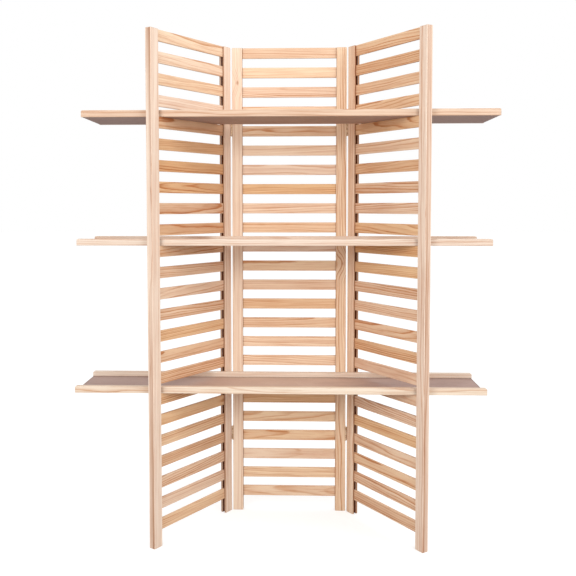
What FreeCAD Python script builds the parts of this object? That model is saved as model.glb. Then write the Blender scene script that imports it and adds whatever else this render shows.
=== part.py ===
import FreeCAD, Part
import math
import os

# Folding bookcase: a three-leaf slatted screen with three loose shelves in its side leaves.
# Millimetres. X runs along the middle leaf, -Y is the open front, +Z is up.
# The origin is the bottom centre of the whole object's box, on the floor.

# ---- Leaves: two stiles with slats housed between them ----
screen_height = 1700.0
leaf_width = 415.0
stile_width = 37.0
stile_thickness = 23.0
stile_edge_radius = 1.5
slat_height = 37.0
slat_gap = 33.0
slat_thickness = 9.0
slat_edge_radius = 1.0
lowest_slat_clearance = 50.0    # least height of the lowest slat above the floor
housing_depth = 10.0            # groove along the inner edge of a stile
slat_end_gap = 0.3              # glue room between a slat's end and the bottom of the groove
slats_per_group = 3
rest_fold = 57.0                # degrees that each side leaf stands swung forward

# ---- Hinges: brassed butt hinges screwed to the edges of the stiles ----
hinge_height = 50.0
hinge_end_distance = 292.0      # from the end of a stile to the middle of its hinge
knuckle_radius = 2.5
knuckle_count = 5
knuckle_gap = 0.3               # between two knuckles along the pin
plate_thickness = 1.2
plate_face_gap = 0.2            # from a plate's inner face to the plane of the pin's axis
plate_back_margin = 9.0         # of the stile's edge that the plate leaves bare at the back
plate_notch_gap = 0.6           # between a plate and the other plate's knuckles
pin_proud = 2.8                 # from the front face of a leaf to the axis of the pin
pin_radius = 1.25
pin_running_gap = 0.05
pin_head_radius = 2.2
pin_head_thickness = 1.2
pin_end_float = 0.2

# ---- Hinge screws ----
screw_shank_radius = 1.75
screw_head_radius = 3.25
screw_length = 16.0
screw_point_length = 4.0
screw_end_distance = 8.0        # from the end of a plate to its first screw
screw_hole_gap = 0.05
recess_width = 0.8
recess_length = 3.6
recess_depth = 1.0

# ---- Shelves: a thin board lapped under a front and a rear rail ----
shelf_length = 1360.0
slats_above_upper_shelf = 4
slats_below_lower_shelf = 7
upper_shelf_offset = 3.5        # along X from the middle of the screen, as each shelf is pushed
middle_shelf_offset = -17.0
lower_shelf_offset = -29.0
shelf_front_gap = 1.0           # between the front rail and the front stiles
shelf_rear_gap = 12.0           # between the rear rail and the swing of the rear stiles
shelf_seat_gap = 0.3            # running room between a shelf and the slats that carry it
rail_headroom = 11.0            # of a slat gap that a rail leaves free, the seat gap included
rail_thickness = 20.0
rail_edge_radius = 1.2
rail_corner_radius = 5.0
board_thickness = 6.0
board_lap_thickness = 5.0       # of the board's long edges, which lap under the rails
board_rebate = 8.0
board_shoulder_gap = 0.2        # between the board's shoulders and the rails
board_end_inset = 2.0

# ---- Brads up through the board into the rails ----
brad_shank_radius = 0.8
brad_head_radius = 1.6
brad_head_thickness = 0.8
brad_cover = 5.0                # wood between a brad's point and the top of the rail
brad_hole_gap = 0.05
brad_spacing = 240.0
brad_end_distance = 70.0

# How far a cutting shape runs on past the faces that it cuts through.
overcut = 1.0

# ---- Worked out from the sizes above ----
slat_pitch = slat_height + slat_gap
slat_room = screen_height - slat_height - lowest_slat_clearance
slat_count = int(slat_room // slat_pitch) + 1
slat_length = leaf_width - 2 * (stile_width - housing_depth + slat_end_gap)
slat_recess = (stile_thickness - slat_thickness) / 2
half_leaf = leaf_width / 2
plate_offset = plate_thickness + plate_face_gap
pin_x = half_leaf + plate_offset
rail_height = slat_gap - rail_headroom
brad_length = rail_height - brad_cover
plate_reach = stile_thickness - plate_back_margin
screw_spacing = hinge_height / 2 - screw_end_distance
fold = math.radians(rest_fold)

# Each shelf lies on the slat of this number, counted from 0 at the top.
upper_shelf_slat = slats_above_upper_shelf
lower_shelf_slat = slat_count - slats_below_lower_shelf
middle_shelf_slat = (upper_shelf_slat + lower_shelf_slat) // 2
shelf_places = {
    "upper": (upper_shelf_slat, upper_shelf_offset),
    "middle": (middle_shelf_slat, middle_shelf_offset),
    "lower": (lower_shelf_slat, lower_shelf_offset),
}

# The front rail stands behind the back corner of the front stiles, and the rear rail in front of
# the circle that the inner corner of a rear stile sweeps about its pin.
front_stile_reach = plate_offset + leaf_width - stile_width
front_stile_corner = (pin_proud + stile_thickness) * math.cos(fold) - front_stile_reach * math.sin(fold)
rear_stile_sweep = math.hypot(plate_offset + stile_width, pin_proud)
shelf_front = front_stile_corner - pin_proud + shelf_front_gap
shelf_rear = -pin_proud - rear_stile_sweep - shelf_rear_gap
shelf_depth = shelf_rear - shelf_front

UP = FreeCAD.Vector(0, 0, 1)
pieces = {}


def box(low, high):
    """A box from its lowest to its highest corner."""
    size = [b - a for a, b in zip(low, high)]
    return Part.makeBox(size[0], size[1], size[2], FreeCAD.Vector(*low))


def rod(radius, length, base, direction):
    """A round bar from a point along a direction."""
    return Part.makeCylinder(radius, length, FreeCAD.Vector(*base), FreeCAD.Vector(*direction))


def edges_along(shape, axis):
    """The straight edges of a block that run along one axis: 0 is X, 1 is Y, 2 is Z."""
    return [edge for edge in shape.Edges if abs(edge.tangentAt(edge.FirstParameter)[axis]) > 0.99]


def slat_top(index):
    """Height of the top edge of a slat, counted from 0 at the top."""
    return screen_height - index * slat_pitch


def hinge_levels():
    """Heights of the middles of the two hinges of a joint."""
    return {"upper": screen_height - hinge_end_distance, "lower": hinge_end_distance}


def stile(side, hinged_edge_holes):
    """A stile in its own leaf, from x = 0 at the leaf's end to stile_width.

    side is 1 where the leaf goes on towards +X, and -1 where it goes on towards -X.
    hinged_edge_holes drills the outer edge for the hinge screws.
    """
    body = box((0, 0, 0), (stile_width, stile_thickness, screen_height))
    body = body.makeFillet(stile_edge_radius, body.Edges)
    groove = box((stile_width - housing_depth, slat_recess, -overcut),
                 (stile_width + overcut, slat_recess + slat_thickness, screen_height + overcut))
    body = body.cut(groove)
    if hinged_edge_holes:
        holes = [screw_hole(level) for level in screw_levels()]
        body = body.cut(Part.makeCompound(holes))
    if side < 0:
        body = body.mirror(FreeCAD.Vector(0, 0, 0), FreeCAD.Vector(1, 0, 0))
    return body


def screw_levels():
    """Heights of all the hinge screws along one stile."""
    levels = []
    for middle in hinge_levels().values():
        for step in (-1, 0, 1):
            levels.append(middle + step * screw_spacing)
    return levels


def screw_hole(level):
    """The pilot hole for one hinge screw in the edge of a stile at x = 0."""
    radius = screw_shank_radius + screw_hole_gap
    depth = screw_length + screw_hole_gap - plate_thickness
    return rod(radius, depth, (0, plate_reach / 2, level), (1, 0, 0))


def screw(level):
    """A countersunk wood screw, head outwards towards -X, in the edge of a stile at x = 0."""
    start = -plate_thickness
    head = Part.makeCone(screw_head_radius, screw_shank_radius, plate_thickness,
                         FreeCAD.Vector(start, plate_reach / 2, level), FreeCAD.Vector(1, 0, 0))
    shank_length = screw_length - plate_thickness - screw_point_length
    shank = rod(screw_shank_radius, shank_length, (0, plate_reach / 2, level), (1, 0, 0))
    point = Part.makeCone(screw_shank_radius, 0, screw_point_length,
                          FreeCAD.Vector(shank_length, plate_reach / 2, level), FreeCAD.Vector(1, 0, 0))
    body = head.fuse([shank, point]).removeSplitter()
    for half_y, half_z in ((recess_length / 2, recess_width / 2), (recess_width / 2, recess_length / 2)):
        slot = box((start - overcut, plate_reach / 2 - half_y, level - half_z),
                   (start + recess_depth, plate_reach / 2 + half_y, level + half_z))
        body = body.cut(slot)
    return body


def slat(index):
    """A slat centred on x = 0, with its long edges eased."""
    top = slat_top(index)
    body = box((-slat_length / 2, slat_recess, top - slat_height),
               (slat_length / 2, slat_recess + slat_thickness, top))
    return body.makeFillet(slat_edge_radius, edges_along(body, 0))


def hinge_plate(middle, first_knuckle):
    """A hinge plate on the edge of a stile that lies towards +X, about the pin at x = 0, y = 0.

    It carries every second knuckle, from first_knuckle up.
    """
    low = middle - hinge_height / 2
    pitch = hinge_height / knuckle_count
    blade_front = knuckle_radius + plate_notch_gap
    inner = plate_offset - plate_thickness
    body = box((inner, blade_front, low), (plate_offset, pin_proud + plate_reach, low + hinge_height))
    for knuckle in range(first_knuckle, knuckle_count, 2):
        bottom = low + knuckle * pitch
        top = bottom + pitch
        if knuckle > 0:
            bottom += knuckle_gap / 2
        if knuckle < knuckle_count - 1:
            top -= knuckle_gap / 2
        arm = box((inner, 0, bottom), (plate_offset, blade_front, top))
        barrel = rod(knuckle_radius, top - bottom, (0, 0, bottom), (0, 0, 1))
        body = body.fuse([arm, barrel])
    bore = rod(pin_radius + pin_running_gap, hinge_height + 2 * overcut, (0, 0, low - overcut), (0, 0, 1))
    body = body.removeSplitter().cut(bore)
    for step in (-1, 0, 1):
        level = middle + step * screw_spacing
        centre_y = pin_proud + plate_reach / 2
        seat = Part.makeCone(screw_head_radius + screw_hole_gap, screw_shank_radius + screw_hole_gap,
                             plate_thickness, FreeCAD.Vector(inner, centre_y, level), FreeCAD.Vector(1, 0, 0))
        body = body.cut(seat)
    return body


def hinge_pin(middle):
    """A headed pin about x = 0, y = 0, clinched over both ends of the knuckles."""
    half_shank = (hinge_height + pin_end_float) / 2
    shank = rod(pin_radius, 2 * half_shank, (0, 0, middle - half_shank), (0, 0, 1))
    rim = pin_head_thickness / 2
    heads = []
    for way in (-1, 1):
        head = rod(pin_head_radius, pin_head_thickness, (0, 0, middle + way * half_shank), (0, 0, way))
        outer = [edge for edge in head.Edges if abs(edge.CenterOfMass.z - middle) > half_shank + rim]
        heads.append(head.makeFillet(rim, outer))
    return shank.fuse(heads).removeSplitter()


def mirrored(shape):
    """The same shape on the other side of the middle plane."""
    return shape.mirror(FreeCAD.Vector(0, 0, 0), FreeCAD.Vector(1, 0, 0))


def moved(shape, x, y):
    """A copy of a shape, carried level."""
    copy = shape.copy()
    copy.translate(FreeCAD.Vector(x, y, 0))
    return copy


def swung(shape, side):
    """A flat side leaf's piece, turned forward about its pin. side is -1 on the left, 1 on the right."""
    copy = shape.copy()
    copy.rotate(FreeCAD.Vector(side * pin_x, -pin_proud, 0), UP, -side * rest_fold)
    return copy


def put(name, shapes):
    """Keeps one node's solids under its name."""
    pieces[name] = Part.makeCompound(shapes) if len(shapes) > 1 else shapes[0]


def build_leaf(name, centre_x, stile_names, hinged, place):
    """A leaf about centre_x: its two stiles and its slats. place carries each piece to where it stands."""
    left_stile = moved(stile(1, hinged[0]), centre_x - half_leaf, 0)
    right_stile = moved(stile(-1, hinged[1]), centre_x + half_leaf, 0)
    put(stile_names[0], [place(left_stile)])
    put(stile_names[1], [place(right_stile)])
    for group, start in enumerate(range(0, slat_count, slats_per_group)):
        indices = range(start, min(start + slats_per_group, slat_count))
        put(f"{name}_slats_{group + 1}", [place(moved(slat(index), centre_x, 0)) for index in indices])


def build_leaves():
    """The middle leaf flat at y = 0, and the two side leaves swung forward from it."""
    side_centre = pin_x + plate_offset + half_leaf
    build_leaf("centre", 0, ("centre_left_stile", "centre_right_stile"), (True, True), lambda shape: shape)
    build_leaf("left", -side_centre, ("left_front_stile", "left_hinge_stile"), (False, True),
               lambda shape: swung(shape, -1))
    build_leaf("right", side_centre, ("right_hinge_stile", "right_front_stile"), (True, False),
               lambda shape: swung(shape, 1))


def build_hinges():
    """Two hinges to a joint. The fixed plate and the pin stay with the middle leaf."""
    for level_name, middle in hinge_levels().items():
        fixed = hinge_plate(middle, 0)
        moving = mirrored(hinge_plate(middle, 1))
        pin = hinge_pin(middle)
        put(f"left_{level_name}_hinge_fixed_plate", [moved(fixed, -pin_x, -pin_proud)])
        put(f"left_{level_name}_hinge_moving_plate", [swung(moved(moving, -pin_x, -pin_proud), -1)])
        put(f"left_{level_name}_hinge_pin", [moved(pin, -pin_x, -pin_proud)])
        put(f"right_{level_name}_hinge_fixed_plate", [moved(mirrored(fixed), pin_x, -pin_proud)])
        put(f"right_{level_name}_hinge_moving_plate", [swung(moved(mirrored(moving), pin_x, -pin_proud), 1)])
        put(f"right_{level_name}_hinge_pin", [moved(pin, pin_x, -pin_proud)])


def build_hinge_screws():
    """Three screws to a plate, in the stile edges on both sides of each joint."""
    row = [screw(level) for level in screw_levels()]
    side_edge = pin_x + plate_offset
    centre_row = [moved(piece, -half_leaf, 0) for piece in row]
    centre_row += [mirrored(piece) for piece in centre_row]
    put("centre_hinge_screws", centre_row)
    put("left_hinge_screws", [swung(moved(mirrored(piece), -side_edge, 0), -1) for piece in row])
    put("right_hinge_screws", [swung(moved(piece, side_edge, 0), 1) for piece in row])


def rail(front):
    """A shelf rail from y = 0 to its thickness, rebated below for the board at its back edge.

    front is the y of its front face. The two top corners at its ends are well rounded.
    """
    body = box((-shelf_length / 2, 0, 0), (shelf_length / 2, rail_thickness, rail_height))
    corners = [edge for edge in edges_along(body, 1) if edge.CenterOfMass.z > rail_height / 2]
    body = body.makeFillet(min(rail_corner_radius, rail_height / 2), corners)
    body = body.makeFillet(rail_edge_radius, body.Edges)
    rebate = box((-shelf_length, rail_thickness - board_rebate, -overcut),
                 (shelf_length, rail_thickness + overcut, board_lap_thickness))
    return moved(body.cut(rebate), 0, front)


def brad_places():
    """X of each brad along a rail, evenly spread between the ends."""
    run = shelf_length - 2 * brad_end_distance
    spaces = max(1, round(run / brad_spacing))
    return [-run / 2 + number * run / spaces for number in range(spaces + 1)]


def brad(x, y, gap):
    """A headed brad driven up from z = 0. gap widens it into the hole that it makes."""
    shank = rod(brad_shank_radius + gap, brad_length + gap, (x, y, 0), (0, 0, 1))
    head = rod(brad_head_radius + gap, brad_head_thickness + gap, (x, y, 0), (0, 0, 1))
    return shank.fuse(head).removeSplitter()


def build_shelf(name, slat_index, offset):
    """A shelf: its board up between its two rails, with its edges in their rebates, and the brads."""
    half_board = shelf_length / 2 - board_end_inset
    lap = rail_thickness - board_rebate
    shoulder = rail_thickness + board_shoulder_gap
    lapped = box((-half_board, lap, 0), (half_board, shelf_depth - lap, board_lap_thickness))
    raised = box((-half_board, shoulder, 0), (half_board, shelf_depth - shoulder, board_thickness))
    board = lapped.fuse(raised).removeSplitter()
    front_rail = rail(0)
    rear_rail = rail(0).mirror(FreeCAD.Vector(0, shelf_depth / 2, 0), FreeCAD.Vector(0, 1, 0))
    lines = (rail_thickness - board_rebate / 2, shelf_depth - rail_thickness + board_rebate / 2)
    spots = [(x, y) for y in lines for x in brad_places()]
    holes = Part.makeCompound([brad(x, y, brad_hole_gap) for x, y in spots])
    parts = {
        "board": [board.cut(holes)],
        "front_rail": [front_rail.cut(holes)],
        "rear_rail": [rear_rail.cut(holes)],
        "brads": [brad(x, y, 0) for x, y in spots],
    }
    seat = FreeCAD.Vector(offset, shelf_front, slat_top(slat_index) + shelf_seat_gap)
    for part_name, shapes in parts.items():
        for shape in shapes:
            shape.translate(seat)
        put(f"{name}_shelf_{part_name}", shapes)


build_leaves()
build_hinges()
build_hinge_screws()
for shelf_name, (slat_index, offset) in shelf_places.items():
    build_shelf(shelf_name, slat_index, offset)

whole = Part.makeCompound(list(pieces.values())).optimalBoundingBox(False, False)
to_origin = FreeCAD.Vector(-(whole.XMin + whole.XMax) / 2, -(whole.YMin + whole.YMax) / 2, -whole.ZMin)

os.makedirs("parts", exist_ok=True)
for piece_name, piece in pieces.items():
    piece.translate(to_origin)
    piece.exportStep(f"parts/{piece_name}.step")

print("nodes", len(pieces), "size", round(whole.XLength, 2), round(whole.YLength, 2), round(whole.ZLength, 2))
print("pins at x", round(to_origin.x - pin_x, 4), "and", round(to_origin.x + pin_x, 4))
print("pins at y", round(to_origin.y - pin_proud, 4))
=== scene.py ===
import math
import random

import bmesh
import bpy
from mathutils import Matrix, Vector


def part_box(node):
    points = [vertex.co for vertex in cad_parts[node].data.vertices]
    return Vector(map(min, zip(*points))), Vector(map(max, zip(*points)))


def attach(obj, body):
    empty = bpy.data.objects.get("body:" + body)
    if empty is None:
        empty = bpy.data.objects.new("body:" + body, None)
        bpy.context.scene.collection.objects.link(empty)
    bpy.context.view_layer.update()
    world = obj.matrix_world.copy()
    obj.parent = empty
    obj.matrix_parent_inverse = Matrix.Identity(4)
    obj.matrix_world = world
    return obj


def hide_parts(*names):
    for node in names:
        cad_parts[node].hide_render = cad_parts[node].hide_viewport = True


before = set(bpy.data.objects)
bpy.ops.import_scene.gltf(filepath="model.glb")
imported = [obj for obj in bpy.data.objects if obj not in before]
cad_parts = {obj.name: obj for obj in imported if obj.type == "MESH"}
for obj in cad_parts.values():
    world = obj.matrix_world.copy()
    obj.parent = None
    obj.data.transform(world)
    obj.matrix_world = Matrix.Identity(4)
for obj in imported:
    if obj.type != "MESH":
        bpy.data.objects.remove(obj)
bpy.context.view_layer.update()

# ---- Stiles ----
# The six uprights of the screen are planed pine, two to a leaf, with rounded arrises and a groove
# along the inner edge that houses the slats. Each leaf is glued up flat and then hinged to the next.
UP = Vector((0, 0, 1))
LEAF_STILES = {
    "left": ("left_front_stile", "left_hinge_stile"),
    "centre": ("centre_left_stile", "centre_right_stile"),
    "right": ("right_hinge_stile", "right_front_stile"),
}
# How each stile's board differs from plain pine: how dark and how orange it is, the heartwood
# along its edge, how strongly its rings show, and where its knot lies.
STILE_TONES = {"right_front_stile": 0.08, "centre_right_stile": 0.08, "right_hinge_stile": 0.03}
STILE_WARMTHS = {"centre_left_stile": 0.3, "centre_right_stile": 0.6, "right_hinge_stile": 0.35}
HEART_EDGES = {"left_front_stile": (0.95, 0.22, 1.0), "right_front_stile": (0.66, 0.75, 0.58)}
STILE_FIGURES = {"left_hinge_stile": 0.6, "centre_right_stile": 1.6, "right_hinge_stile": 1.2}
TOP_FIGURES = {"left_hinge_stile": 0.1, "right_hinge_stile": 1.6}
STILE_KNOTS = {"centre_left_stile": (0.725, 0.001), "centre_right_stile": (0.07, 0.005)}
plain_tone = 0.02
plain_warmth = 0.1
stile_low, stile_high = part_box("centre_left_stile")
slat_low, slat_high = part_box("centre_slats_1")
stile_width, stile_thickness, stile_height = stile_high - stile_low
stile_edge_radius = 0.0015
groove_depth = 0.010
groove_width = slat_high.y - slat_low.y
arris_width = 0.0003
cutter_overrun = 0.001

# How a board lies in its log: how far from the heart, at which angle to the rings, in degrees, and
# how much the grain leans and drifts along it. The rings of a flat-sawn board drift the most.
heart_reach = (0.025, 0.090)
ring_angles = (12, 32, 48, 62, 78)
angle_spread = 8
log_length = 40
grain_lean = 0.015
least_drift = 0.008
flat_sawn_drift = 0.016
ring_growth = (0.8, 1.4)
ring_strength = (0.5, 1.2)

# How far out from the middle a corner of the mesh has to be to lie on the board's edge, from 0 to 1.
edge_share = 0.999

wood_chance = random.Random(24)


def middle(node):
    """The middle of a node's box."""
    low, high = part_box(node)
    return (low + high) / 2


def leaf_place(leaf):
    """Takes a leaf that lies along X, with its faces towards -Y and +Y, to where it stands."""
    start, end = (middle(stile) for stile in LEAF_STILES[leaf])
    along = (end - start).normalized()
    turn = Matrix((along, UP.cross(along), UP)).transposed().to_4x4()
    foot = (start + end) / 2
    foot.z = 0
    return Matrix.Translation(foot) @ turn


def planed_block(name, size, centre):
    """A squared block of wood at its size and place."""
    bpy.ops.object.select_all(action="DESELECT")
    bpy.ops.mesh.primitive_cube_add(size=1, location=centre, scale=size)
    bpy.ops.object.transform_apply(location=True, rotation=True, scale=True)
    block = bpy.context.object
    block.name = name
    return block


def round_edges(block, radius, steps, wanted=None):
    """Rounds the edges of a block whose middle and direction wanted accepts, or all of them."""
    bpy.ops.object.mode_set(mode="EDIT")
    bpy.ops.mesh.select_mode(type="EDGE")
    bpy.ops.mesh.select_all(action="DESELECT")
    shape = bmesh.from_edit_mesh(block.data)
    for edge in shape.edges:
        start, end = (corner.co for corner in edge.verts)
        if wanted is None or wanted((start + end) / 2, (end - start).normalized()):
            edge.select_set(True)
    bmesh.update_edit_mesh(block.data)
    bpy.ops.mesh.bevel(offset=radius, segments=steps, profile=0.5, affect="EDGES")
    bpy.ops.object.mode_set(mode="OBJECT")


def apply_modifier(block, modifier):
    """Applies one modifier to a block."""
    bpy.ops.object.select_all(action="DESELECT")
    block.select_set(True)
    bpy.context.view_layer.objects.active = block
    bpy.ops.object.modifier_apply(modifier=modifier.name)


def cut_away(block, size, centre):
    """Machines a box-shaped cut out of a block."""
    cutter = planed_block("cutter", size, centre)
    cut = block.modifiers.new("cut", "BOOLEAN")
    cut.operation = "DIFFERENCE"
    cut.solver = "EXACT"
    cut.object = cutter
    apply_modifier(block, cut)
    bpy.data.meshes.remove(cutter.data)


def ease_arrises(block, width):
    """Takes the sharpness off the edges that are still square."""
    ease = block.modifiers.new("ease", "BEVEL")
    ease.width = width
    ease.segments = 1
    ease.limit_method = "ANGLE"
    ease.angle_limit = math.radians(60)
    apply_modifier(block, ease)


def finish_faces(block):
    """Shades the rounded edges smooth and keeps the planed faces flat."""
    bpy.ops.object.select_all(action="DESELECT")
    block.select_set(True)
    bpy.context.view_layer.objects.active = block
    bpy.ops.object.shade_smooth_by_angle(angle=math.radians(40))
    even = block.modifiers.new("even", "WEIGHTED_NORMAL")
    even.keep_sharp = True
    apply_modifier(block, even)


def copy_of(block, name):
    """A copy of a finished block, with its own mesh."""
    copy = block.copy()
    copy.data = block.data.copy()
    copy.name = name
    bpy.context.scene.collection.objects.link(copy)
    return copy


def keep_values(board, name, values):
    """Keeps three values for each corner of a board's mesh."""
    kept = board.data.attributes.new(name, "FLOAT_VECTOR", "POINT")
    kept.data.foreach_set("vector", values)


def saw_from_log(board, length, face, width, tone, warmth, figure=1.0, knot=None, lip_shade=0,
                 heart_edge=None, top_figure=1.0):
    """Keeps where each point of a board lay in its log, in metres from the heart.

    length, face and width are the board's axes: 0 is X, 1 is Y and 2 is Z. tone and warmth are how
    dark and how orange the board is, from 0 to 1, and figure is how strongly its rings show. knot is
    how far along and across the board's middle its knot lies, if it has one. The next value is -1 or 1
    for the edge whose lips, beside the groove, get a painted shade, and heart_edge is how dark the
    heartwood along the other edge is, at the foot, halfway up and at the top. The rings show
    top_figure times as strongly at the top of a stile as halfway up.
    """
    heart = wood_chance.uniform(*heart_reach)
    turn = math.radians(wood_chance.choice(ring_angles) + wood_chance.uniform(-angle_spread, angle_spread))
    start = wood_chance.uniform(0, log_length)
    lean = wood_chance.uniform(-grain_lean, grain_lean)
    growth = wood_chance.uniform(*ring_growth)
    strength = figure * wood_chance.uniform(*ring_strength)
    low = Vector(min(corner.co[axis] for corner in board.data.vertices) for axis in range(3))
    high = Vector(max(corner.co[axis] for corner in board.data.vertices) for axis in range(3))
    centre = (low + high) / 2
    half = (high - low) / 2
    drift = wood_chance.uniform(-1, 1) * (least_drift + flat_sawn_drift * math.cos(turn))
    drift /= (2 * half[length]) ** 0.6
    log = []
    section = []
    marks = []
    nature = []
    for corner in board.data.vertices:
        place = corner.co - centre
        out = math.cos(turn) * place[face] - math.sin(turn) * place[width]
        side = math.sin(turn) * place[face] + math.cos(turn) * place[width]
        run = place[length]
        log.extend((start + run, growth * (heart + out + drift * run), growth * (side + lean * run)))
        section.extend((place[face] / half[face], place[width] / half[width], run / half[length]))
        towards_lip = lip_shade * place[width] / half[width]
        marks.extend((run - knot[0], place[width] - knot[1]) if knot else (1, 1))
        # The lips on that edge are marked for a painted shade.
        marks.append(1 if towards_lip > edge_share else 0)
        level = round(1 + run / half[length])
        heartwood = tone
        if heart_edge and -towards_lip > edge_share and place[face] < 0:
            heartwood = heart_edge[level]
        nature.extend((heartwood, warmth, strength * top_figure if level > 1 else strength))
    keep_values(board, "log", log)
    keep_values(board, "section", section)
    keep_values(board, "marks", marks)
    keep_values(board, "nature", nature)


def stand_in_leaf(board, leaf):
    """Takes a board from its flat leaf to where the leaf stands."""
    board.data.transform(leaf_place(leaf))


def new_finish(name):
    """A new material, its tree of nodes and its shader."""
    material = bpy.data.materials.new(name)
    material.use_nodes = True
    return material, material.node_tree, material.node_tree.nodes["Principled BSDF"]


def add_node(tree, kind, **settings):
    """A shader node with its settings."""
    made = tree.nodes.new("ShaderNode" + kind)
    for name, value in settings.items():
        setattr(made, name, value)
    return made


def give(tree, socket, value):
    """Sets a socket to a number or a colour, or links another socket to it."""
    if isinstance(value, bpy.types.NodeSocket):
        tree.links.new(value, socket)
    else:
        socket.default_value = value


def sum_of(tree, operation, first, second=None):
    """One step of arithmetic on sockets or numbers."""
    step = add_node(tree, "Math", operation=operation)
    give(tree, step.inputs[0], first)
    if second is not None:
        give(tree, step.inputs[1], second)
    return step.outputs[0]


def stretched(tree, place, stretch):
    """A place with each axis multiplied, which draws a pattern out along the low ones."""
    step = add_node(tree, "VectorMath", operation="MULTIPLY")
    give(tree, step.inputs[0], place)
    give(tree, step.inputs[1], stretch)
    return step.outputs[0]


def clouds(tree, place, stretch, detail=2.0):
    """A soft random pattern from 0 to 1."""
    noise = add_node(tree, "TexNoise")
    give(tree, noise.inputs["Vector"], stretched(tree, place, stretch))
    noise.inputs["Scale"].default_value = 1.0
    noise.inputs["Detail"].default_value = detail
    return noise.outputs["Fac"]


def eased(tree, value, low, high, to_low=0.0, to_high=1.0):
    """Takes a value from low..high smoothly to to_low..to_high."""
    step = add_node(tree, "MapRange", interpolation_type="SMOOTHSTEP")
    for socket, number in zip(step.inputs, (value, low, high, to_low, to_high)):
        give(tree, socket, number)
    return step.outputs[0]


def blended(tree, share, first, second, way="MIX"):
    """Two colours, mixed by a share."""
    mix = add_node(tree, "Mix", data_type="RGBA", blend_type=way)
    give(tree, mix.inputs[0], share)
    give(tree, mix.inputs[6], first)
    give(tree, mix.inputs[7], second)
    return mix.outputs[2]


def colour(red, green, blue):
    """A colour as it is seen, 0 to 255, as the shader wants it."""
    linear = []
    for value in (red / 255, green / 255, blue / 255):
        linear.append(value / 12.92 if value <= 0.04045 else ((value + 0.055) / 1.055) ** 2.4)
    return (*linear, 1.0)


def read_values(tree, name):
    """The three values that a board keeps on its mesh, together and one by one."""
    together = add_node(tree, "Attribute", attribute_name=name).outputs["Vector"]
    parts = add_node(tree, "SeparateXYZ")
    give(tree, parts.inputs[0], together)
    return together, parts.outputs["X"], parts.outputs["Y"], parts.outputs["Z"]


def length_of(tree, place, stretch):
    """How long a vector is, once each of its axes is multiplied."""
    step = add_node(tree, "VectorMath", operation="LENGTH")
    give(tree, step.inputs[0], stretched(tree, place, stretch))
    return step.outputs["Value"]


def chance_line(tree, value, detail=0.0):
    """A soft random value from 0 to 1 along a line."""
    noise = add_node(tree, "TexNoise", noise_dimensions="1D")
    give(tree, noise.inputs["W"], value)
    noise.inputs["Scale"].default_value = 1.0
    noise.inputs["Detail"].default_value = detail
    return noise.outputs["Fac"]


def raise_grain(tree, shader, height, strength, depth):
    """Gives a shader a fine relief, so deep in metres."""
    relief = add_node(tree, "Bump")
    relief.inputs["Strength"].default_value = strength
    relief.inputs["Distance"].default_value = depth
    give(tree, relief.inputs["Height"], height)
    give(tree, shader.inputs["Normal"], relief.outputs[0])


# A year's ring in metres, and how much summer wood shows at each share of the year's growth.
ring_width = 0.0078
ring_profile = ((0.07, 0.02), (0.45, 0.06), (0.74, 0.36), (0.88, 1.0), (0.95, 0.92))
plain_cast = colour(255, 250, 249)
orange_cast = colour(255, 236, 204)
knot_pale = colour(212, 160, 122)
knot_dark = colour(164, 108, 74)
# Painted shade inside the groove.
groove_shade = colour(124, 58, 22)
# Painted shade on the lips beside the groove.
lip_shade_grey = colour(196, 172, 154)
# A painted shade line where the slats go into their grooves.
seam_shade_brown = colour(132, 86, 58)
# Paler arrises: rubbed wear and a painted highlight.
arris_sheen = colour(255, 240, 222)


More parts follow.
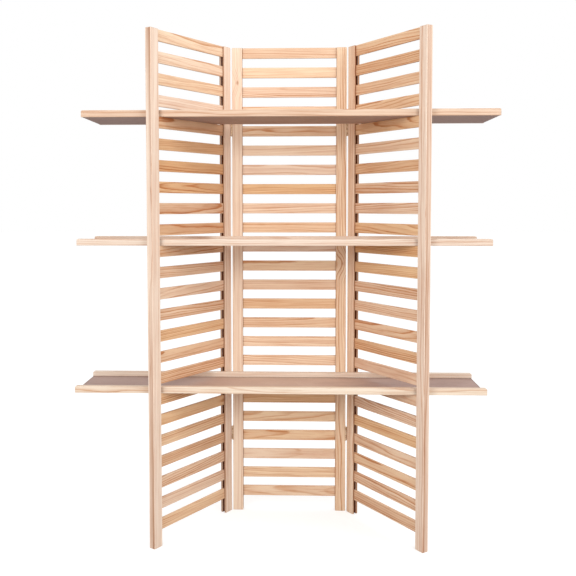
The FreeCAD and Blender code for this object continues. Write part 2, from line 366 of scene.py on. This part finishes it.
def pine(name, pale, late, deep, housed=None):
    """Sanded pine. pale is the spring wood, late the summer wood and deep a darker board's tint.

    housed is how far along its half length a board goes into its groove, from 0 to 1.
    """
    material, tree, shader = new_finish(name)
    log, *_ = read_values(tree, "log")
    marks, _, _, lip_shade = read_values(tree, "marks")
    _, tone, warmth, strength = read_values(tree, "nature")
    _, over_face, over_width, over_length = read_values(tree, "section")

    # How far a point is from the heart. The rings wander a little and swell around a knot.
    sway = sum_of(tree, "MULTIPLY", clouds(tree, log, (3.0, 12.0, 12.0)), 0.020)
    wobble = sum_of(tree, "MULTIPLY", clouds(tree, log, (11.0, 70.0, 70.0)), 0.0032)
    ragged = sum_of(tree, "MULTIPLY", clouds(tree, log, (40.0, 500.0, 500.0)), 0.0007)
    knot = length_of(tree, marks, (0.55, 1.0, 0.0))
    knot = sum_of(tree, "ADD", knot, sum_of(tree, "MULTIPLY", wobble, 0.8))
    swell = eased(tree, knot, 0.002, 0.040, 0.020, 0.0)
    reach = length_of(tree, log, (0.0, 1.0, 1.0))
    for change in (sway, wobble, ragged, swell):
        reach = sum_of(tree, "ADD", reach, change)

    # Each year's ring runs from pale spring wood to a dark line of summer wood, some years more.
    years = chance_line(tree, sum_of(tree, "MULTIPLY", reach, 80.0), 1.0)
    rings = sum_of(tree, "ADD", sum_of(tree, "DIVIDE", reach, ring_width), years)
    season = sum_of(tree, "FRACT", rings)
    summer = add_node(tree, "ValToRGB")
    give(tree, summer.inputs[0], season)
    stops = summer.color_ramp.elements
    stops[0].position = 0.0
    stops[0].color = (0.22, 0.22, 0.22, 1)
    stops[1].position = 1.0
    stops[1].color = (0.34, 0.34, 0.34, 1)
    for place, value in ring_profile:
        stop = stops.new(place)
        stop.color = (value, value, value, 1)
    year = add_node(tree, "TexWhiteNoise", noise_dimensions="1D")
    give(tree, year.inputs["W"], sum_of(tree, "FLOOR", rings))
    year_strength = eased(tree, year.outputs["Value"], 0.0, 1.0, 0.40, 1.35)
    fading = eased(tree, clouds(tree, log, (2.4, 50.0, 50.0)), 0.30, 0.70, 0.40, 1.25)
    figure = sum_of(tree, "MULTIPLY", summer.outputs[0], year_strength)
    figure = sum_of(tree, "MULTIPLY", figure, sum_of(tree, "MULTIPLY", fading, strength))

    # The broader bands and patches, and the finer fibres and resin ducts.
    bands = chance_line(tree, sum_of(tree, "ADD", sum_of(tree, "MULTIPLY", reach, 105.0), 7.0), 1.0)
    streaks = clouds(tree, log, (4.0, 260.0, 260.0), 2.0)
    fibres = clouds(tree, log, (26.0, 1900.0, 1900.0), 3.0)
    patches = clouds(tree, log, (5.0, 16.0, 16.0))
    ducts = clouds(tree, log, (70.0, 1300.0, 1300.0))

    wood = blended(tree, eased(tree, bands, 0.35, 0.68, 0.0, 0.22), pale, late)
    wood = blended(tree, figure, wood, late)
    wood = blended(tree, tone, wood, deep, "MULTIPLY")
    cast = blended(tree, warmth, plain_cast, orange_cast)
    wood = blended(tree, 1.0, wood, cast, "MULTIPLY")
    wood = blended(tree, eased(tree, streaks, 0.50, 0.68, 0.0, 0.34), wood, late, "MULTIPLY")
    wood = blended(tree, eased(tree, fibres, 0.35, 0.80, 0.0, 0.14), wood, late, "MULTIPLY")
    wood = blended(tree, eased(tree, patches, 0.45, 0.80, 0.0, 0.17), wood, late, "MULTIPLY")
    wood = blended(tree, eased(tree, ducts, 0.68, 0.76, 0.0, 0.40), wood, late, "MULTIPLY")
    knot_rings = sum_of(tree, "FRACT", sum_of(tree, "MULTIPLY", knot, 420.0))
    knot_wood = blended(tree, knot_rings, knot_pale, knot_dark)
    wood = blended(tree, eased(tree, knot, 0.0015, 0.0080, 0.8, 0.0), wood, knot_wood)

    # The groove and its lips, painted darker as shade, a painted shade line where the slats go into
    # their grooves, the arrises, paler from rubbed wear and a painted highlight, and the end grain.
    over_face = sum_of(tree, "ABSOLUTE", over_face)
    over_width = sum_of(tree, "ABSOLUTE", over_width)
    over_length = sum_of(tree, "ABSOLUTE", over_length)
    # The inside of the groove is painted dark brown as shade.
    inside = eased(tree, sum_of(tree, "MAXIMUM", over_face, over_width), 0.82, 0.966, 1.0, 0.0)
    not_end = sum_of(tree, "LESS_THAN", over_length, 0.9995)
    inside = sum_of(tree, "MULTIPLY", inside, not_end)
    wood = blended(tree, inside, wood, groove_shade)
    # The lips beside the groove are painted darker and greyer, as shade.
    wood = blended(tree, lip_shade, wood, lip_shade_grey, "MULTIPLY")
    # A painted shade line on each slat where it goes into its groove, as cast by the stile's lip.
    if housed:
        seam = eased(tree, over_length, housed - 0.014, housed, 0.0, 0.5)
        wood = blended(tree, seam, wood, seam_shade_brown, "MULTIPLY")
    # The arrises are painted paler, partly as rubbed wear and partly as a highlight.
    arris = eased(tree, sum_of(tree, "MINIMUM", over_face, over_width), 0.90, 0.995)
    rubbed = sum_of(tree, "MULTIPLY", arris, eased(tree, patches, 0.3, 0.6, 0.05, 0.35))
    wood = blended(tree, rubbed, wood, arris_sheen, "SOFT_LIGHT")
    end_grain = eased(tree, over_length, 0.9985, 0.9999)
    wood = blended(tree, sum_of(tree, "MULTIPLY", end_grain, 0.6), wood, deep, "MULTIPLY")
    give(tree, shader.inputs["Base Color"], wood)

    sanding = eased(tree, fibres, 0.2, 0.8, 0.46, 0.62)
    sawn = sum_of(tree, "MULTIPLY", sum_of(tree, "MAXIMUM", inside, end_grain), 0.38)
    give(tree, shader.inputs["Roughness"], sum_of(tree, "ADD", sanding, sawn))
    shader.inputs["Specular IOR Level"].default_value = 0.25
    raise_grain(tree, shader, sum_of(tree, "ADD", fibres, figure), 0.35, 0.0004)
    return material


def set_finish(piece, material):
    """Gives a piece its one material."""
    piece.data.materials.clear()
    piece.data.materials.append(material)


stile_pine = pine("stile pine", colour(253, 241, 226), colour(212, 167, 134), colour(181, 139, 108))

halfway_up = (0, 0, stile_height / 2)
groove_centre = stile_width / 2 - groove_depth / 2 + cutter_overrun / 2
left_stile_block = planed_block("stile", (stile_width, stile_thickness, stile_height), halfway_up)
round_edges(left_stile_block, stile_edge_radius, 4)
cut_away(left_stile_block,
         (groove_depth + cutter_overrun, groove_width, stile_height + 2 * cutter_overrun),
         (groove_centre, 0, stile_height / 2))
ease_arrises(left_stile_block, arris_width)
bpy.ops.object.mode_set(mode="EDIT")
bpy.ops.mesh.select_all(action="SELECT")
bpy.ops.mesh.bisect(plane_co=halfway_up, plane_no=UP)
bpy.ops.object.mode_set(mode="OBJECT")
finish_faces(left_stile_block)

for leaf, stiles in LEAF_STILES.items():
    half_span = (middle(stiles[1]) - middle(stiles[0])).length / 2
    for way, node in zip((-1, 1), stiles):
        stile = copy_of(left_stile_block, node.replace("stile", "upright"))
        if way > 0:
            stile.data.transform(Matrix.Rotation(math.pi, 4, "Z"))
        stile.data.transform(Matrix.Translation((way * half_span, 0, 0)))
        tone = STILE_TONES.get(node, plain_tone)
        warmth = STILE_WARMTHS.get(node, plain_warmth)
        saw_from_log(stile, 2, 1, 0, tone, warmth, STILE_FIGURES.get(node, 1.0), STILE_KNOTS.get(node),
                     -way, HEART_EDGES.get(node), TOP_FIGURES.get(node, 1.0))
        stand_in_leaf(stile, leaf)
        set_finish(stile, stile_pine)
        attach(stile, leaf + "_leaf")
        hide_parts(node)
bpy.data.meshes.remove(left_stile_block.data)

# ---- Slats ----
# Twenty-four thin slats to a leaf, planed from wider and younger pine than the stiles, so their
# colour and figure change from slat to slat. Their ends are glued in the grooves of the stiles. The
# left leaf's top slats are painted paler, with fainter rings, as light from above, and the few below
# them are painted darker as the shade of the upper shelf.
slats_to_a_node = 3
groups_to_a_leaf = 8
slat_edge_radius = 0.001
LEAF_TONES = {"left": 0.40, "centre": 0.0, "right": 0.40}
LEAF_FIGURES = {"left": 1.2, "centre": 0.8, "right": 1.2}
tone_spread = 0.55
lit_slats = 4
lit_figure = 0.6
shaded_slats = 6
shade_tone = 0.35
slat_end_gap = 0.0003
next_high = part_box("centre_slats_2")[1]
slat_length, slat_thickness, group_height = slat_high - slat_low
slat_pitch = (slat_high.z - next_high.z) / slats_to_a_node
slat_height = group_height - (slats_to_a_node - 1) * slat_pitch

groove_mouth = 1 - (groove_depth - slat_end_gap) / (slat_length / 2)
slat_pine = pine("slat pine", colour(254, 239, 221), colour(212, 158, 116), colour(234, 215, 194),
                 groove_mouth)

slat_block = planed_block("slat", (slat_length, slat_thickness, slat_height), (0, 0, 0))
round_edges(slat_block, slat_edge_radius, 3, lambda place, way: abs(way.x) > 0.9)
finish_faces(slat_block)

for leaf in LEAF_STILES:
    for group in range(groups_to_a_leaf):
        node = f"{leaf}_slats_{group + 1}"
        group_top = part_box(node)[1].z
        for row in range(slats_to_a_node):
            number = group * slats_to_a_node + row + 1
            slat = copy_of(slat_block, f"{leaf}_slat_{number:02d}")
            rise = group_top - slat_height / 2 - row * slat_pitch
            slat.data.transform(Matrix.Translation((0, 0, rise)))
            tone = LEAF_TONES[leaf] + tone_spread * wood_chance.random() ** 1.5
            figure = LEAF_FIGURES[leaf]
            # Painted light on the left leaf's top slats and painted shade on the slats under the upper
            # shelf.
            if leaf == "left" and number <= lit_slats:
                tone, figure = 0.0, lit_figure
            elif leaf == "left" and number <= lit_slats + shaded_slats:
                tone += shade_tone
            saw_from_log(slat, 0, 1, 2, tone, wood_chance.random(), figure)
            stand_in_leaf(slat, leaf)
            set_finish(slat, slat_pine)
            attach(slat, leaf + "_leaf")
            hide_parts(node)
bpy.data.meshes.remove(slat_block.data)

# ---- Hinges ----
# Two brassed steel butt hinges join each side leaf to the middle one. Their plates lie on the edges
# of the stiles and their knuckles stand proud in the gap at the front, on a pin with domed heads.


def metal(name, bright, dull, roughness, fineness):
    """Worn plated metal, bright on the rubbed parts and dull between them.

    fineness is how many of its patches lie side by side in a metre.
    """
    material, tree, shader = new_finish(name)
    place = add_node(tree, "TexCoord").outputs["Object"]
    tarnish = clouds(tree, place, (fineness, fineness, fineness), 4.0)
    scratches = clouds(tree, place, (9 * fineness, 9 * fineness, 0.6 * fineness), 2.0)
    skin = blended(tree, eased(tree, tarnish, 0.35, 0.68), bright, dull)
    skin = blended(tree, eased(tree, scratches, 0.60, 0.75, 0.0, 0.4), skin, bright)
    give(tree, shader.inputs["Base Color"], skin)
    shader.inputs["Metallic"].default_value = 1.0
    give(tree, shader.inputs["Roughness"], eased(tree, tarnish, 0.3, 0.7, roughness, roughness + 0.2))
    raise_grain(tree, shader, scratches, 0.2, 0.0001)
    return material


def refinish(node, material):
    """Gives a solid of the frame its material."""
    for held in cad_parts[node].material_slots:
        held.material = material


hinge_brass = metal("hinge brass", colour(240, 218, 188), colour(188, 152, 118), 0.36, 160.0)

for leaf in ("left", "right"):
    for level in ("upper", "lower"):
        for part in ("fixed_plate", "moving_plate", "pin"):
            refinish(f"{leaf}_{level}_hinge_{part}", hinge_brass)

# ---- Hinge screws ----
# Three countersunk brassed wood screws hold each hinge plate to the edge of its stile. They have a
# cross recess and are driven flush.
screw_brass = metal("screw brass", colour(206, 172, 112), colour(132, 104, 66), 0.3, 420.0)

for leaf in LEAF_STILES:
    refinish(leaf + "_hinge_screws", screw_brass)

# ---- Shelf rails ----
# Each loose shelf has a front and a rear rail of planed pine, rebated below for the board. The rails
# run past the leaves on both sides, and the top corners of their ends are rounded off.
SHELF_TONES = {"upper": 0.55, "middle": 0.2, "lower": 0.0}
rail_low, rail_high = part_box("upper_shelf_front_rail")
rail_length, rail_thickness, rail_height = rail_high - rail_low
rail_edge_radius = 0.0012
rail_corner_radius = 0.005
rebate_width = 0.008
rebate_height = 0.005
warmest_rail = 0.3

rail_pine = pine("rail pine", colour(241, 233, 220), colour(212, 177, 150), colour(234, 207, 188))

rail_block = planed_block("rail", (rail_length, rail_thickness, rail_height), (0, 0, rail_height / 2))
round_edges(rail_block, rail_corner_radius, 6,
            lambda place, way: abs(way.y) > 0.9 and place.z > rail_height / 2)
round_edges(rail_block, rail_edge_radius, 3,
            lambda place, way: abs(place.y) > 0.45 * rail_thickness)
cut_away(rail_block,
         (rail_length + 2 * cutter_overrun, rebate_width + cutter_overrun, rebate_height + cutter_overrun),
         (0, rail_thickness / 2 - rebate_width / 2 + cutter_overrun / 2,
          rebate_height / 2 - cutter_overrun / 2))
ease_arrises(rail_block, arris_width)
finish_faces(rail_block)

for shelf, tone in SHELF_TONES.items():
    for side in ("front", "rear"):
        node = f"{shelf}_shelf_{side}_rail"
        seat = middle(node)
        seat.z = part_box(node)[0].z
        rail = copy_of(rail_block, f"{shelf}_{side}_rail")
        if side == "rear":
            rail.data.transform(Matrix.Rotation(math.pi, 4, "Z"))
        rail.data.transform(Matrix.Translation(seat))
        saw_from_log(rail, 0, 1, 2, tone, wood_chance.uniform(0.0, warmest_rail))
        set_finish(rail, rail_pine)
        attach(rail, shelf + "_shelf")
        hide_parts(node)
bpy.data.meshes.remove(rail_block.data)

# ---- Shelf boards ----
# A thin grey-brown board closes each shelf. Its long edges lap under the rails, flush with them
# below, and shoulders along its top keep the rails apart.
board_lap_height = rebate_height
shoulder_gap = 0.0002


def stained_board(name, fresh, reflected_glow, under, darkening, rail_line):
    """A smooth stained board. Along the middle, its upper face is painted paler and warmer, as light
    reflected from the leaves, and its underside is painted warmer and darker, as shade.

    A painted shade darkens its upper face beside the rails, which stand at rail_line, and the upper
    face is also darker at its ends. rail_line is how far out from the board's middle the rails are,
    from 0 to 1.
    """
    material, tree, shader = new_finish(name)
    place = add_node(tree, "TexCoord").outputs["Object"]
    _, above, across, along = read_values(tree, "section")
    across = sum_of(tree, "ABSOLUTE", across)
    at_end = eased(tree, sum_of(tree, "ABSOLUTE", along), 0.991, 0.999, 0.0, 0.55)
    cloudy = clouds(tree, place, (5.0, 12.0, 12.0), 3.0)
    fibres = clouds(tree, place, (60.0, 700.0, 700.0), 4.0)
    flecks = clouds(tree, place, (420.0, 1600.0, 1600.0), 1.0)
    # The middle of the board, between the leaves: painted warm light above and painted warm shade below.
    ragged = sum_of(tree, "ADD", along, eased(tree, cloudy, 0.3, 0.7, -0.06, 0.06))
    midway = eased(tree, sum_of(tree, "ABSOLUTE", ragged), 0.12, 0.62, 1.0, 0.0)
    upper = sum_of(tree, "GREATER_THAN", above, 0.0)
    skin = blended(tree, sum_of(tree, "MULTIPLY", midway, upper), fresh, reflected_glow)
    lower = sum_of(tree, "SUBTRACT", 1.0, upper)
    skin = blended(tree, sum_of(tree, "MULTIPLY", midway, lower), skin, under)
    skin = blended(tree, eased(tree, cloudy, 0.35, 0.75, 0.0, 0.22), skin, fresh, "MULTIPLY")
    skin = blended(tree, eased(tree, fibres, 0.4, 0.7, 0.0, 0.16), skin, fresh, "MULTIPLY")
    skin = blended(tree, eased(tree, flecks, 0.62, 0.75, 0.0, 0.25), skin, fresh, "MULTIPLY")
    # Painted shade on the upper face beside the rails: a broad soft band and a narrow dark one.
    for reach, strength in ((0.30, 0.22), (0.07, 0.85)):
        rail_shade = eased(tree, across, rail_line - reach, rail_line, 0.0, strength)
        skin = blended(tree, sum_of(tree, "MULTIPLY", rail_shade, upper), skin, darkening, "MULTIPLY")
    # The upper face is darker at its ends.
    skin = blended(tree, sum_of(tree, "MULTIPLY", at_end, upper), skin, darkening, "MULTIPLY")
    give(tree, shader.inputs["Base Color"], skin)
    give(tree, shader.inputs["Roughness"], eased(tree, fibres, 0.3, 0.7, 0.5, 0.66))
    shader.inputs["Specular IOR Level"].default_value = 0.3
    raise_grain(tree, shader, fibres, 0.25, 0.0002)
    return material


board_low, board_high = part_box("upper_shelf_board")
rail_line = 1 - 2 * (rebate_width + shoulder_gap) / (board_high.y - board_low.y)
board_finish = stained_board("shelf board stain", colour(182, 154, 144), colour(214, 186, 168),
                             colour(178, 146, 126), colour(124, 88, 68), rail_line)

for shelf in SHELF_TONES:
    node = shelf + "_shelf_board"
    low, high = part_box(node)
    size = high - low
    lap = (low + high) / 2
    lap.z = low.z + board_lap_height / 2
    board = planed_block(shelf + "_board", (size.x, size.y, board_lap_height), lap)
    shoulder = size.y / 2 - rebate_width - shoulder_gap
    bpy.ops.object.mode_set(mode="EDIT")
    for way in (-1, 1):
        bpy.ops.mesh.select_all(action="SELECT")
        bpy.ops.mesh.bisect(plane_co=(lap.x, lap.y + way * shoulder, lap.z), plane_no=(0, 1, 0))
    bpy.ops.mesh.select_mode(type="FACE")
    bpy.ops.mesh.select_all(action="DESELECT")
    shape = bmesh.from_edit_mesh(board.data)
    for face in shape.faces:
        if face.normal.z > 0.9 and abs(face.calc_center_median().y - lap.y) < shoulder / 2:
            face.select_set(True)
    bmesh.update_edit_mesh(board.data)
    bpy.ops.mesh.extrude_region_move(TRANSFORM_OT_translate={"value": (0, 0, size.z - board_lap_height)})
    bpy.ops.object.mode_set(mode="OBJECT")
    ease_arrises(board, arris_width)
    finish_faces(board)
    saw_from_log(board, 0, 2, 1, 0.0, 0.0)
    set_finish(board, board_finish)
    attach(board, shelf + "_shelf")
    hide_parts(node)

# ---- Brads ----
# Headed steel brads go up through the board's laps into both rails and hold the board in them.
# Their heads are flush with the underside.
brad_steel = metal("brad steel", colour(178, 176, 172), colour(128, 124, 120), 0.32, 500.0)

for shelf in SHELF_TONES:
    refinish(shelf + "_shelf_brads", brad_steel)

# ---- Floor ----
# A plain white floor that keeps the screen's soft shadow. It is large enough to run out into the
# white room.
floor_size = 60.0
floor_glow = 0.6
floor_grey = (0.56, 0.56, 0.56, 1)
white = (1, 1, 1, 1)

bpy.ops.object.select_all(action="DESELECT")
bpy.ops.mesh.primitive_plane_add(size=floor_size, location=(0, 0, 0))
floor = bpy.context.object
floor.name = "floor"
floor_paint, tree, shader = new_finish("floor paint")
shader.inputs["Base Color"].default_value = floor_grey
shader.inputs["Roughness"].default_value = 0.9
shader.inputs["Specular IOR Level"].default_value = 0.0
shader.inputs["Emission Color"].default_value = white
seen = add_node(tree, "LightPath").outputs["Is Camera Ray"]
give(tree, shader.inputs["Emission Strength"], sum_of(tree, "MULTIPLY", seen, floor_glow))
set_finish(floor, floor_paint)

# ---- Light ----
# A white room with three round soft lamps, one on each side of the front and the third high up on
# the right.
room_light = 0.78
lamp_size = 1.6
lamp_distance = 3.6
scene = bpy.context.scene
world = bpy.data.worlds.new("white room")
scene.world = world
world.use_nodes = True
tree = world.node_tree
room = tree.nodes["Background"]
room.inputs["Color"].default_value = white
path = add_node(tree, "LightPath")
shown = sum_of(tree, "MAXIMUM", path.outputs["Is Camera Ray"], path.outputs["Is Transmission Ray"])
shown = sum_of(tree, "MAXIMUM", shown, path.outputs["Is Glossy Ray"])
shown = sum_of(tree, "MULTIPLY", shown, 1 - room_light)
give(tree, room.inputs["Strength"], sum_of(tree, "ADD", room_light, shown))


def soft_lamp(name, power, side, height):
    """A round soft lamp turned to the middle of the screen, so many degrees round to the right."""
    lamp = bpy.data.lights.new(name, "AREA")
    lamp.shape = "DISK"
    lamp.size = lamp_size
    lamp.energy = power
    holder = bpy.data.objects.new(name, lamp)
    turn = math.radians(side)
    place = Vector((lamp_distance * math.sin(turn), -lamp_distance * math.cos(turn), height))
    holder.location = place
    holder.rotation_euler = (UP - place).to_track_quat("-Z", "Y").to_euler()
    holder.visible_camera = False
    scene.collection.objects.link(holder)


soft_lamp("left lamp", 43.0, -30, 1.9)
soft_lamp("right lamp", 28.0, 30, 1.9)
soft_lamp("high lamp", 36.0, 60, 3.4)

# ---- Camera ----
# At chest height, a little to the right of the middle and looking slightly down, with the lens
# shifted to frame the screen.
look_down = math.radians(3.078)
lean_right = math.radians(0.05)
turn_left = math.radians(1.895)
lens = bpy.data.cameras.new("camera")
lens.sensor_width = 36.0
lens.lens = 49.115
lens.shift_x = 0.0278
lens.shift_y = -0.0692
camera = bpy.data.objects.new("camera", lens)
camera.location = (0.0448, -2.7033, 1.1303)
camera.rotation_euler = (math.radians(90) - look_down, lean_right, turn_left)
scene.collection.objects.link(camera)
scene.camera = camera
scene.view_settings.view_transform = "Standard"
